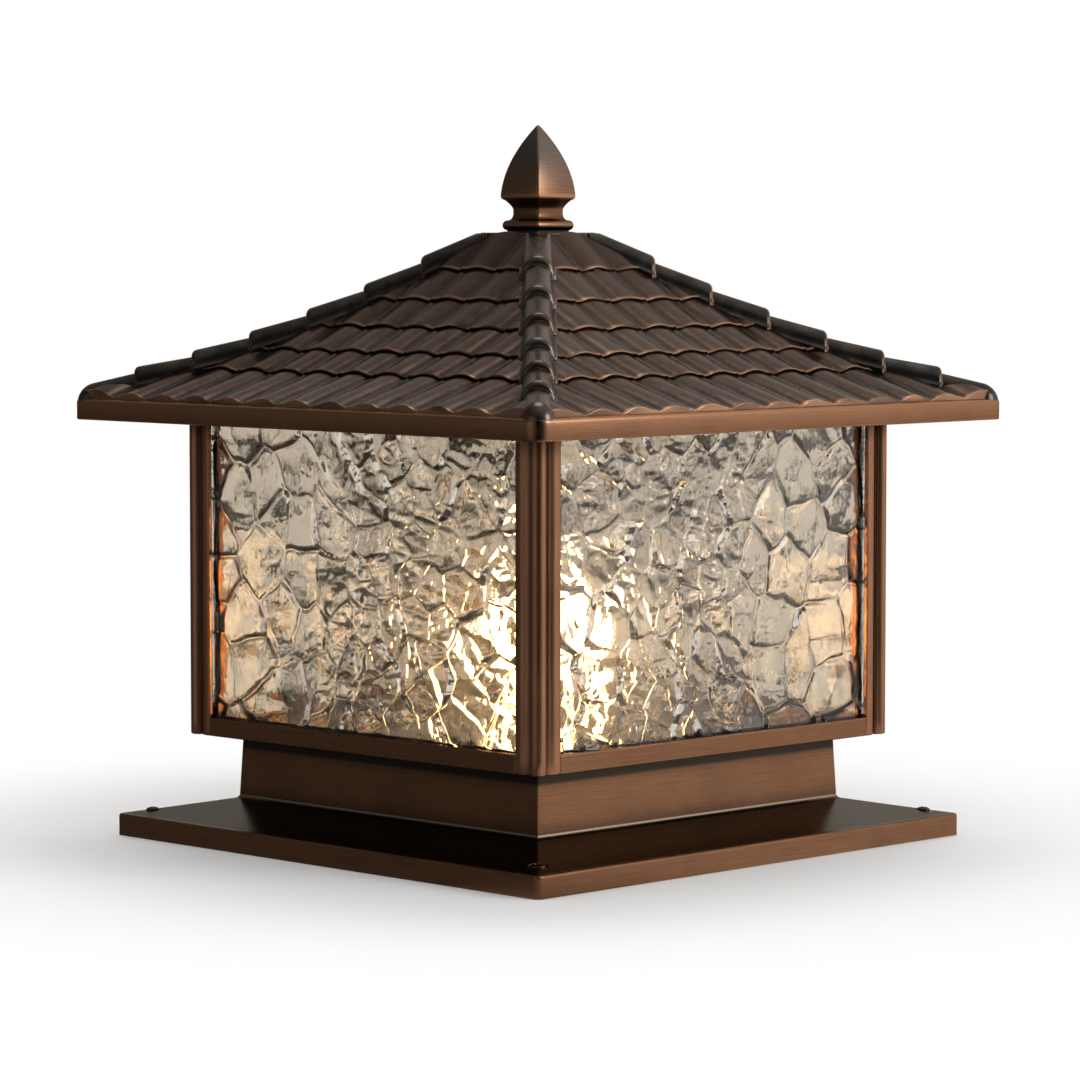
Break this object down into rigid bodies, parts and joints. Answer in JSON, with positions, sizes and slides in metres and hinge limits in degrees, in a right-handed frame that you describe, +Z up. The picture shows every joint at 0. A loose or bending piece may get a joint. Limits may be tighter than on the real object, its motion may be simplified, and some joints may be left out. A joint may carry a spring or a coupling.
{
  "type": "pillar light",
  "caption": "Square lantern for the top of a gate pillar: bronze-finished cast base and tiled roof, corner posts and pebbled glass panes round a screw-in globe bulb.",
  "frame": {"origin": "on the lamp's axis, in the plane of the base rim that stands on the pillar", "axes": "+Z up along the lamp's axis, -Y out of the front pane, +X out of the right pane"},
  "size_m": [0.304, 0.304, 0.3271],
  "materials": {
    "bronze": "antique brushed bronze on cast and extruded aluminium",
    "pebbled_glass": "clear, rolled with a pebbled pattern",
    "seal_rubber": "matte",
    "plated_steel": "zinc plated",
    "porcelain": "glazed",
    "contact_brass": "satin",
    "bulb_black": "gloss",
    "bulb_nickel": "nickel plated",
    "opal_glass": "opal, lit from inside",
    "block_plastic": "moulded",
    "live_insulation": "satin",
    "neutral_insulation": "satin",
    "earth_insulation": "satin"
  },
  "bodies": {
    "lantern": {"base_casting": "bronze", "floor_plate": "bronze", "corner_post_back_right": "bronze", "corner_post_back_left": "bronze", "corner_post_front_left": "bronze", "corner_post_front_right": "bronze", "bottom_rail_back": "bronze", "bottom_rail_left": "bronze", "bottom_rail_front": "bronze", "bottom_rail_right": "bronze", "top_rail_back": "bronze", "top_rail_left": "bronze", "top_rail_front": "bronze", "top_rail_right": "bronze", "glass_pane_back": "pebbled_glass", "glass_pane_left": "pebbled_glass", "glass_pane_front": "pebbled_glass", "glass_pane_right": "pebbled_glass", "pane_seals": "seal_rubber", "cross_bar": "plated_steel", "cross_bar_screws": "plated_steel", "stud_nuts": "plated_steel", "roof_stud": "plated_steel", "holder_bracket": "plated_steel", "bracket_screws": "plated_steel", "floor_screws": "plated_steel", "rail_screws": "plated_steel", "lower_frame_screws": "plated_steel", "upper_frame_screws": "plated_steel", "lamp_holder": "porcelain", "holder_shell": "contact_brass", "holder_contact": "contact_brass", "holder_screws": "plated_steel", "terminal_block": "block_plastic", "terminal_screws": "plated_steel", "lead_live": "live_insulation", "lead_neutral": "neutral_insulation", "earth_lead": "earth_insulation", "earth_screw": "plated_steel"},
    "roof": {"roof_casting": "bronze"},
    "finial_seal": {"finial_washer": "seal_rubber"},
    "finial": {"finial": "bronze"},
    "bulb_foot": {"bulb_tip": "contact_brass"},
    "bulb": {"bulb_insulator": "bulb_black", "bulb_cap": "bulb_nickel", "bulb_globe": "opal_glass"}
  },
  "joints": [
    {"name": "roof_lift", "type": "slide", "parent": "lantern", "child": "roof", "axis": [0, 0, 1], "range_m": [0, 0.12]},
    {"name": "finial_rise", "type": "slide", "parent": "roof", "child": "finial_seal", "axis": [0, 0, 1], "range_m": [0, 0.0091]},
    {"name": "finial_turn", "type": "hinge", "parent": "finial_seal", "child": "finial", "pos_m": [0, 0, 0.279], "axis": [0, 0, 1], "range_deg": [0, 3240]},
    {"name": "bulb_rise", "type": "slide", "parent": "lantern", "child": "bulb_foot", "axis": [0, 0, 1], "range_m": [0, 0.0219]},
    {"name": "bulb_turn", "type": "hinge", "parent": "bulb_foot", "child": "bulb", "pos_m": [0, 0, 0.0425], "axis": [0, 0, 1], "range_deg": [0, 2160]}
  ],
  "couplings": [
    {"joint": "finial_rise", "follows": "finial_turn", "m_per_rad": 0.00015915},
    {"joint": "bulb_rise", "follows": "bulb_turn", "m_per_rad": 0.00057753}
  ]
}
